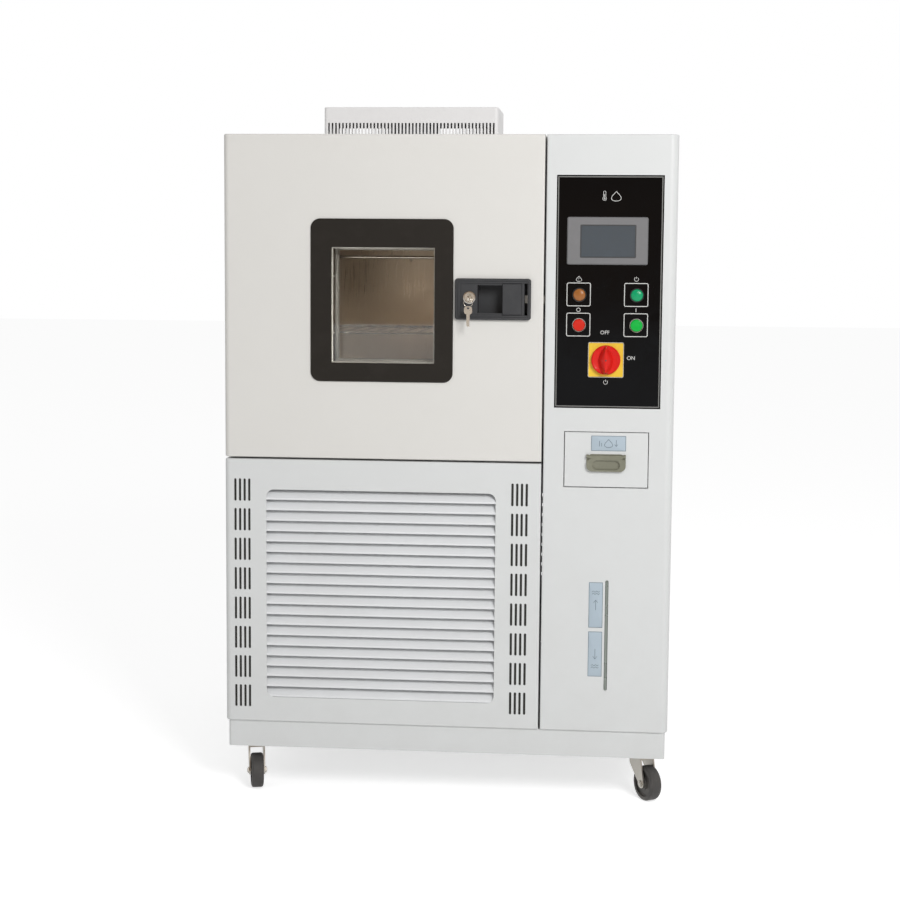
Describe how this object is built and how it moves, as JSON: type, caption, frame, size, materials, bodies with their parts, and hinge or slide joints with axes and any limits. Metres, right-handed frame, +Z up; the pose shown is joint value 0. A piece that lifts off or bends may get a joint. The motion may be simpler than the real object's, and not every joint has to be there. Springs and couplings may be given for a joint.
{
  "type": "environmental test chamber",
  "caption": "Upright climatic test chamber on casters with a windowed insulated door, control column, louvred machine compartment and roof motor cover.",
  "frame": {"origin": "on the floor below the centre of the overall box", "axes": "+Z up, -Y out of the front face with the door, +X to the right as seen from the front"},
  "size_m": [0.962, 0.964, 1.512],
  "materials": {
    "cream_paint": "satin",
    "stainless": "brushed",
    "galvanised": "satin",
    "zinc_plate": "satin",
    "motor_grey": "satin",
    "black_paint": "satin",
    "fin_aluminium": "satin",
    "black_plastic": "matte",
    "panel_black": "gloss",
    "gasket_rubber": "matte",
    "key_steel": "polished",
    "bezel_metal": "satin",
    "foam": "matte",
    "latch_grey": "satin",
    "olive_metal": "satin",
    "clear_tube": "clear",
    "float_plastic": "matte",
    "lens_amber": "gloss",
    "lens_green": "gloss",
    "button_green": "gloss",
    "button_red": "gloss",
    "knob_red": "gloss",
    "plate_yellow": "gloss",
    "screen_grey": "matte",
    "window_black": "satin",
    "window_glass": "clear",
    "panel_print": "satin",
    "label_blue": "satin",
    "screen_glass": "gloss",
    "fastener_steel": "satin",
    "spacer_metal": "satin",
    "caster_zinc": "satin",
    "caster_rubber": "matte"
  },
  "bodies": {
    "cabinet": {"alarm_lamp": "lens_amber", "base_frame": "cream_paint", "button_bezels": "bezel_metal", "cavity_liner": "stainless", "circulation_motor": "motor_grey", "column_panel": "cream_paint", "compressor": "black_paint", "condenser": "fin_aluminium", "control_panel": "panel_black", "duct_heaters": "stainless", "duct_panel": "stainless", "electrical_plate": "galvanised", "evaporator": "fin_aluminium", "hinge_body_leaves": "zinc_plate", "humidifier_pan": "stainless", "insulation": "foam", "left_side_panel": "cream_paint", "louvre_grille": "cream_paint", "machine_panel": "cream_paint", "motor_cover": "cream_paint", "mouth_frame": "cream_paint", "port_sleeve": "stainless", "power_lamp": "lens_green", "rear_fittings": "black_plastic", "rear_panel": "cream_paint", "right_side_panel": "cream_paint", "roof_panel": "cream_paint", "sight_tube": "clear_tube", "switch_plate": "plate_yellow", "touch_screen": "screen_grey", "water_tank": "float_plastic", "wire_shelves": "stainless"},
    "latch_paddle": {"latch_paddle": "latch_grey"},
    "latch_bolt": {"latch_bolt": "zinc_plate"},
    "spare_key": {"spare_key": "key_steel"},
    "pull_bail": {"pull_bail": "olive_metal"},
    "stop_button": {"stop_button": "button_red"},
    "start_button": {"start_button": "button_green"},
    "condenser_fan": {"condenser_fan": "black_plastic"},
    "level_float": {"level_float": "float_plastic"},
    "key": {"door_key": "key_steel"},
    "main_switch": {"switch_knob": "knob_red"},
    "blower": {"blower_wheel": "galvanised"},
    "drawer": {"water_drawer": "cream_paint", "pull_mount": "olive_metal"},
    "door": {"door_shell": "cream_paint", "door_liner": "stainless", "window_frame": "window_black", "window_panes": "window_glass", "door_gasket": "gasket_rubber", "latch_frame": "latch_grey", "hinge_door_leaves": "zinc_plate"},
    "caster_fork_1": {"caster_fork_1": "caster_zinc"},
    "caster_wheel_1": {"caster_wheel_1": "caster_rubber"},
    "caster_fork_2": {"caster_fork_2": "caster_zinc"},
    "caster_wheel_2": {"caster_wheel_2": "caster_rubber"},
    "caster_fork_3": {"caster_fork_3": "caster_zinc"},
    "caster_wheel_3": {"caster_wheel_3": "caster_rubber"},
    "caster_fork_4": {"caster_fork_4": "caster_zinc"},
    "caster_wheel_4": {"caster_wheel_4": "caster_rubber"}
  },
  "joints": [
    {"name": "door_swing", "type": "hinge", "parent": "cabinet", "child": "door", "pos_m": [-0.475, -0.377, 1.074], "axis": [0, 0, -1], "range_deg": [0, 115]},
    {"name": "paddle_pull", "type": "hinge", "parent": "door", "child": "latch_paddle", "pos_m": [0.164, -0.449, 1.0738], "axis": [0, 0, 1], "range_deg": [0, 35], "stiffness_Nm_per_rad": 0.8},
    {"name": "bolt_draw", "type": "slide", "parent": "door", "child": "latch_bolt", "axis": [-1, 0, 0], "range_m": [0, 0.0127]},
    {"name": "key_turn", "type": "hinge", "parent": "door", "child": "key", "pos_m": [0.0525, -0.454, 1.0768], "axis": [0, 1, 0], "range_deg": [0, 90]},
    {"name": "spare_key_swing", "type": "hinge", "parent": "key", "child": "spare_key", "pos_m": [0.0525, -0.478, 1.0756], "axis": [0, 1, 0], "range_deg": [-30, 30]},
    {"name": "drawer_slide", "type": "slide", "parent": "cabinet", "child": "drawer", "axis": [0, -1, 0], "range_m": [0, 0.15]},
    {"name": "bail_lift", "type": "hinge", "parent": "drawer", "child": "pull_bail", "pos_m": [0.342, -0.4488, 0.7485], "axis": [-1, 0, 0], "range_deg": [0, 90]},
    {"name": "stop_press", "type": "slide", "parent": "cabinet", "child": "stop_button", "axis": [0, 1, 0], "range_m": [0, 0.003], "stiffness_N_per_m": 400},
    {"name": "start_press", "type": "slide", "parent": "cabinet", "child": "start_button", "axis": [0, 1, 0], "range_m": [0, 0.003], "stiffness_N_per_m": 400},
    {"name": "main_switch_turn", "type": "hinge", "parent": "cabinet", "child": "main_switch", "pos_m": [0.338, -0.444, 0.95], "axis": [0, 1, 0], "range_deg": [0, 90]},
    {"name": "float_rise", "type": "slide", "parent": "cabinet", "child": "level_float", "axis": [0, 0, 1], "range_m": [0, 0.232]},
    {"name": "blower_spin", "type": "hinge", "parent": "cabinet", "child": "blower", "pos_m": [-0.13125, 0.1495, 1.414], "axis": [0, 0, 1], "continuous": true},
    {"name": "condenser_fan_spin", "type": "hinge", "parent": "cabinet", "child": "condenser_fan", "pos_m": [-0.13375, -0.224, 0.31], "axis": [0, 1, 0], "continuous": true},
    {"name": "caster_1_swivel", "type": "hinge", "parent": "cabinet", "child": "caster_fork_1", "pos_m": [-0.417, -0.372, 0.091], "axis": [0, 0, 1], "continuous": true},
    {"name": "caster_1_roll", "type": "hinge", "parent": "caster_fork_1", "child": "caster_wheel_1", "pos_m": [-0.41079, -0.39518, 0.0375], "axis": [-0.9659, -0.2588, 0], "continuous": true},
    {"name": "caster_2_swivel", "type": "hinge", "parent": "cabinet", "child": "caster_fork_2", "pos_m": [0.429, -0.372, 0.091], "axis": [0, 0, 1], "continuous": true},
    {"name": "caster_2_roll", "type": "hinge", "parent": "caster_fork_2", "child": "caster_wheel_2", "pos_m": [0.44207, -0.39213, 0.0375], "axis": [-0.8387, -0.5446, 0], "continuous": true},
    {"name": "caster_3_swivel", "type": "hinge", "parent": "cabinet", "child": "caster_fork_3", "pos_m": [-0.417, 0.376, 0.091], "axis": [0, 0, 1], "continuous": true},
    {"name": "caster_3_roll", "type": "hinge", "parent": "caster_fork_3", "child": "caster_wheel_3", "pos_m": [-0.41283, 0.35236, 0.0375], "axis": [-0.9848, -0.1736, 0], "continuous": true},
    {"name": "caster_4_swivel", "type": "hinge", "parent": "cabinet", "child": "caster_fork_4", "pos_m": [0.429, 0.376, 0.091], "axis": [0, 0, 1], "continuous": true},
    {"name": "caster_4_roll", "type": "hinge", "parent": "caster_fork_4", "child": "caster_wheel_4", "pos_m": [0.43876, 0.35407, 0.0375], "axis": [-0.9135, -0.4067, 0], "continuous": true}
  ],
  "couplings": [
    {"joint": "bolt_draw", "follows": "paddle_pull", "m_per_rad": 0.020657}
  ]
}
